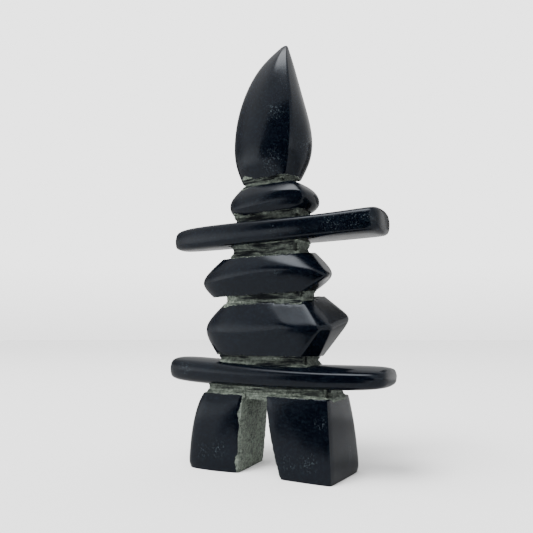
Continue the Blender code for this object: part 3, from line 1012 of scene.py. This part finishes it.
# %% [markdown]
# ## Flags
# A polished black object shows only what it mirrors, so a studio shapes its dark bands
# with black flags.  A tall felt flag stands in front of the carving, cut to the outline
# of the dark shapes on the head, the slabs and the right leg, with a felt foot on the
# floor before it.  A small grey card behind dims the belly's right corner.  They are seen
# in reflections and nowhere else: the lens looks through them and they cast no shadow.

# %% Flags
FLAG_Y = -0.27          # metres, in front of the carving
CARD_Y = 0.146          # metres, behind it


def matt(name, code):
    """A finish with a colour and no sheen at all."""
    finish = bpy.data.materials.new(name)
    finish.use_nodes = True
    face = finish.node_tree.nodes["Principled BSDF"]
    face.inputs["Base Color"].default_value = linear(code)
    face.inputs["Specular IOR Level"].default_value = 0.0
    return finish


felt, grey_card = matt("black felt", "#020202"), matt("grey card", "#525252")
flag_outline = [        # x and z in metres, from the floor up the left side and back
    (-0.135, 0.0), (-0.12, 0.10), (-0.092, 0.17), (-0.108, 0.205), (-0.125, 0.217),
    (-0.195, 0.23), (-0.2, 0.30), (-0.185, 0.36), (-0.16, 0.40), (-0.09, 0.425),
    (0.06, 0.43), (0.08, 0.22), (0.115, 0.19), (0.15, 0.13), (0.17, 0.1), (0.17, 0.0),
]
flag = sheet("lens_flag", [(x, FLAG_Y, z) for x, z in flag_outline],
             [range(len(flag_outline))], felt)
foot_outline = [        # x and y on the floor
    (-0.135, FLAG_Y), (-0.04, -0.17), (-0.002, -0.12), (0.07, -0.12), (0.08, FLAG_Y),
]
foot = sheet("flag_foot", [(x, y, 0.0005) for x, y in foot_outline],
             [range(len(foot_outline))], felt)
card_outline = [(0.055, 0.165), (0.13, 0.165), (0.13, 0.275), (0.055, 0.275)]
card = sheet("back_card", [(x, CARD_Y, z) for x, z in card_outline], [range(4)],
             grey_card)
for helper in (flag, foot, card):
    helper.visible_camera = helper.visible_diffuse = helper.visible_shadow = False
print("flag:", [round(side, 2) for side in flag.dimensions])

# %% [markdown]
# ## The room in the polish
# The surround is made three times over, and Light Path chooses.  The lens sees a plain
# pale backdrop, the stone is lit by an even soft white, and the polish mirrors a room: an
# even wall, a brighter band low in front, and soft round patches, some bright and some
# dark.  A patch is named by its bearing from the front, towards +X, and its height.

# %% Room
LIT_BY = 1.4
BACKDROP_LOW, BACKDROP_HIGH = 2.3, 3.0
WALL, LOW_BAND, DARKEST = 0.93, 0.65, 0.15
SOFT_PATCHES = [        # bearing, height, full and outer radius in degrees, light added
    (-38, 67.5, 4, 19, 7.0),    # the softbox
    (-50, 8, 5, 15, 0.4),       # a lamp low on the left
    (-98, 8, 15, 42, -0.65),    # the dark side of the room
    (0, 90, 8, 20, -0.7),       # the ceiling
    (-150, 0, 20, 45, -0.45),   # the backdrop, dim at a glancing angle
]


def towards(bearing, height):
    """The direction of a bearing and a height, both in degrees."""
    a, e = math.radians(bearing), math.radians(height)
    return Vector((math.sin(a) * math.cos(e), -math.cos(a) * math.cos(e), math.sin(e)))


world = bpy.data.worlds.new("studio")
bpy.context.scene.world = world
world.use_nodes = True
sky = world.node_tree
sky.nodes.clear()
heading_vector = add(sky, "TexCoord").outputs["Generated"]
heading = add(sky, "SeparateXYZ", {}, {0: heading_vector})
low_band = add(sky, "MapRange", {"From Min": 0.12, "From Max": 0.3,
                                 "To Min": LOW_BAND, "To Max": 0.0},
               {"Value": heading.outputs["Z"]})
in_front = add(sky, "MapRange", {"From Min": 0.15, "From Max": -0.1},
               {"Value": heading.outputs["Y"]})
mirrored_light = add(sky, "Math", {"operation": "MULTIPLY_ADD", 2: WALL},
                     {0: low_band.outputs["Result"], 1: in_front.outputs["Result"]})
for bearing, height, full, outer, strength in SOFT_PATCHES:
    nearness = add(sky, "VectorMath", {"operation": "DOT_PRODUCT",
                                       1: towards(bearing, height)},
                   {0: heading_vector}).outputs["Value"]
    patch = add(sky, "MapRange", {"interpolation_type": "SMOOTHSTEP",
                                  "From Min": math.cos(math.radians(outer)),
                                  "From Max": math.cos(math.radians(full)),
                                  "To Max": strength}, {"Value": nearness})
    mirrored_light = add(sky, "Math", {"operation": "ADD"},
                         {0: mirrored_light.outputs["Value"],
                          1: patch.outputs["Result"]})
mirrored_light = add(sky, "Math", {"operation": "MAXIMUM", 1: DARKEST},
                     {0: mirrored_light.outputs["Value"]})
print("room:", len(SOFT_PATCHES), "soft patches")

# %% [markdown]
# ## Three surrounds in one
# The backdrop grows a little brighter just above the horizon, where the floor ends.

# %% Surround
white = linear("#ffffff")
glow = add(sky, "MapRange", {"From Min": 0.0, "From Max": 0.12,
                             "To Min": BACKDROP_LOW, "To Max": BACKDROP_HIGH},
           {"Value": heading.outputs["Z"]})
lit_by = add(sky, "Background", {"Color": white, "Strength": LIT_BY})
mirrors = add(sky, "Background", {"Color": white},
              {"Strength": mirrored_light.outputs["Value"]})
shown = add(sky, "Background", {"Color": white}, {"Strength": glow.outputs["Result"]})
rays = add(sky, "LightPath")
unseen = add(sky, "MixShader", {}, {0: rays.outputs["Is Glossy Ray"],
                                    1: lit_by.outputs[0], 2: mirrors.outputs[0]})
both = add(sky, "MixShader", {}, {0: rays.outputs["Is Camera Ray"],
                                  1: unseen.outputs[0], 2: shown.outputs[0]})
add(sky, "OutputWorld", {}, {"Surface": both.outputs[0]})
print("surround:", len(sky.nodes), "nodes")

# %% [markdown]
# ## Two lamps
# A softbox overhead on the left and broad window light, high in front, lay the soft
# shadow to the right of the feet and behind them.  Neither shows in the polish: the
# softbox that the polish mirrors is the soft patch above, placed more freely.

# %% Lamps
WINDOW_TILT = (34, 0, -14)      # degrees


def area_light(name, bearing, height, distance, size, radiance):
    """A square soft light aimed at the carving; radiance is its brightness to the eye."""
    lamp = bpy.data.lights.new(name, "AREA")
    lamp.size = size
    lamp.energy = radiance * math.pi * size * size
    stand = bpy.data.objects.new(name, lamp)
    away = towards(bearing, height)
    stand.location = Vector((0, 0, 0.1)) + distance * away
    stand.rotation_euler = (-away).to_track_quat("-Z", "Y").to_euler()
    stand.visible_camera = False
    bpy.context.scene.collection.objects.link(stand)
    return stand


softbox = area_light("softbox", -35, 66, 2.2, 1.5, 6.5)
daylight = bpy.data.lights.new("window", "SUN")
daylight.energy = 1.6 * math.pi
daylight.angle = math.radians(30)
window = bpy.data.objects.new("window", daylight)
window.rotation_euler = [math.radians(a) for a in WINDOW_TILT]
bpy.context.scene.collection.objects.link(window)
for light in (softbox, window):
    light.visible_glossy = False
print("lights:", softbox.name, window.name)

# %% [markdown]
# ## The camera
# It stands low and close, right of the front, and looks up a little, so the head narrows
# away and the slabs show their undersides on the right.

# %% Camera
STAND_AT = (0.18273, -0.33152, 0.089)       # metres
LOOK = (97.334, 0.0, 29.5)                  # degrees: 7.3 above level, 29.5 leftward
lens = bpy.data.cameras.new("camera")
lens.sensor_width = 36.0
lens.lens = 36.473
camera = bpy.data.objects.new("camera", lens)
camera.location = STAND_AT
camera.rotation_euler = [math.radians(a) for a in LOOK]
bpy.context.scene.collection.objects.link(camera)
bpy.context.scene.camera = camera
print("camera:", [round(c, 3) for c in camera.location])
